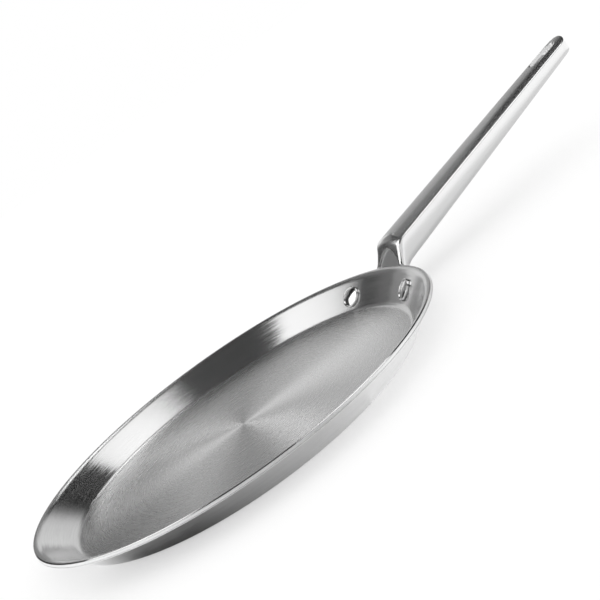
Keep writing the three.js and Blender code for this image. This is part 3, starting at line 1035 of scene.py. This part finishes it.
def sheet(name, corners, material, faces=((0, 1, 2, 3),)):
    """A thin sheet of one finish."""
    mesh = bpy.data.meshes.new(name)
    mesh.from_pydata(corners, [], faces)
    mesh.materials.append(material)
    return placed(name, mesh)


def add_floor(settings):
    """A wide pale floor that keeps the shadow."""
    material, tree, shader = matt("pale_floor", settings.floor_tint)
    mirrored = add(tree, "ShaderNodeLightPath").outputs["Is Glossy Ray"]
    seen = math_node(tree, "MULTIPLY", background_rays(tree), FLOOR_GLOW)
    glow = math_node(tree, "ADD", seen, math_node(tree, "MULTIPLY", mirrored, MIRRORED_GLOW))
    feed(tree, shader, {"Emission Color": (1, 1, 1, 1), "Emission Strength": glow})
    sheet("floor", rectangle(*FLOOR_CORNERS), material)


def add_card(name, corners, grey, faces=((0, 1, 2, 3),)):
    """A card that shows only in the metal, as a painted reflection: it lights nothing and casts no shadow.
    Returns it and its material's parts.
    """
    material, tree, shader = matt(name, (grey, grey, grey))
    card = sheet(name, corners, material, faces)
    card.visible_camera = card.visible_diffuse = card.visible_shadow = card.visible_transmission = False
    return card, tree, shader


def add_painted_wall_shadow():
    """A painted shadow under the near left of the wall: a dark sheet that shows only in the metal, fading out
    along the wall and outwards.
    """
    corners, faces, painted_shadow_alpha = [], [], []
    for degrees in PAINTED_SHADOW_TURNS:
        turn = radians(degrees)
        cover = max(0, min(1, (degrees - PAINTED_SHADOW_START) / PAINTED_SHADOW_RISE, (PAINTED_SHADOW_END - degrees) / PAINTED_SHADOW_FALL))
        for radius, part in PAINTED_SHADOW_RINGS:
            corners.append((radius * cos(turn), radius * sin(turn), 0))
            painted_shadow_alpha.append(cover * part)
    rings = len(PAINTED_SHADOW_RINGS)
    for column in range(len(PAINTED_SHADOW_TURNS) - 1):
        for row in range(rings - 1):
            first = rings * column + row
            faces.append((first, first + 1, first + rings + 1, first + rings))
    shadow_sheet, tree, shader = add_card("floor_flag", corners, PAINTED_SHADOW_GREY, faces)
    shadow_sheet.data.attributes.new("cover", "FLOAT", "POINT").data.foreach_set("value", painted_shadow_alpha)
    cover = add(tree, "ShaderNodeAttribute", attribute_name="cover")
    feed(tree, shader, {"Alpha": cover.outputs["Fac"]})


def add_world(scene):
    """White round the horizon with a dark ceiling above, and an even white fill on what is matt."""
    world = bpy.data.worlds.new("studio")
    world.use_nodes = True
    tree = world.node_tree
    place = add(tree, "ShaderNodeTexCoord").outputs["Generated"]
    height = add(tree, "ShaderNodeSeparateXYZ", place).outputs[2]
    ramp = grey_ramp(tree, height, WORLD_STOPS)
    ramp.color_ramp.interpolation = "EASE"
    color = mixed(tree, background_rays(tree), WORLD_FILL, ramp.outputs[0])
    feed(tree, tree.nodes["Background"], {"Color": color})
    scene.world = world


def add_softbox(name, place, size, turn, light):
    """An overhead softbox facing down, drawn out along the view."""
    lamp = bpy.data.lights.new(name, "AREA")
    lamp.shape = "RECTANGLE"
    lamp.size, lamp.size_y = size
    lamp.energy = light * pi * size[0] * size[1]
    box = placed(name, lamp)
    box.location = place
    box.visible_diffuse = False
    box.rotation_euler = (0, 0, radians(turn))


def add_camera(scene, settings):
    """The camera at the picture's angle."""
    lens = bpy.data.cameras.new("camera")
    lens.lens = settings.lens
    camera = placed("camera", lens)
    eye, aim = Vector(settings.eye), Vector(settings.aim)
    roll = Quaternion((0, 0, 1), settings.roll)
    camera.rotation_mode = "QUATERNION"
    camera.location = eye
    camera.rotation_quaternion = (aim - eye).to_track_quat("-Z", "Y") @ roll
    scene.camera = camera


class PAN_OT_stage(Operator):
    """Sets the floor, the light and the camera."""

    bl_idname = "pan.stage"
    bl_label = "Stage"

    def execute(self, context):
        scene = context.scene
        settings = scene.pan_stage
        scene.view_settings.view_transform = "Standard"
        add_floor(settings)
        add_world(scene)
        for name, place, size, turn, part in SOFTBOXES:
            add_softbox(name, place, size, turn, part * settings.box_light)
        # Painted reflections, seen only in the metal
        for *span, grey in GRIP_CARDS:
            add_card("handle_card", behind_grip(*span), grey)
        for name, low, high, grey in CARDS:
            add_card(name, rectangle(low, high), grey)
        # A painted shadow under the near left of the wall, seen only in the metal
        add_painted_wall_shadow()
        add_camera(scene, settings)
        return {"FINISHED"}


class PAN_PT_sidebar(Panel):
    """Lists the pan's operators, sizes and colours."""

    bl_label = "Pancake Pan"
    bl_space_type = "VIEW_3D"
    bl_region_type = "UI"
    bl_category = "Pan"

    def draw(self, context):
        for operator in OPERATORS:
            self.layout.operator(operator.bl_idname)
        for name in GROUPS:
            group = getattr(context.scene, name)
            box = self.layout.box()
            for key in group.bl_rna.properties.keys():
                if key not in ("rna_type", "name"):
                    box.prop(group, key)


GROUPS = {
    "pan_dish": PAN_PG_dish,
    "pan_rivets": PAN_PG_rivets,
    "pan_handle": PAN_PG_handle,
    "pan_finish": PAN_PG_finish,
    "pan_stage": PAN_PG_stage,
}
OPERATORS = (PAN_OT_dish, PAN_OT_rivets, PAN_OT_handle, PAN_OT_stage)


def register():
    """Adds the classes and the scene's property groups."""
    for name, group in GROUPS.items():
        bpy.utils.register_class(group)
        setattr(Scene, name, PointerProperty(type=group))
    for kind in (*OPERATORS, PAN_PT_sidebar):
        bpy.utils.register_class(kind)


def unregister():
    """Takes them away again."""
    for kind in reversed((*OPERATORS, PAN_PT_sidebar)):
        bpy.utils.unregister_class(kind)
    for name, group in reversed(GROUPS.items()):
        delattr(Scene, name)
        bpy.utils.unregister_class(group)


def main():
    """Builds the pan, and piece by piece."""
    register()
    bpy.ops.pan.dish()
    bpy.ops.pan.rivets()
    bpy.ops.pan.handle()
    bpy.ops.pan.stage()


if __name__ == "__main__":
    main()
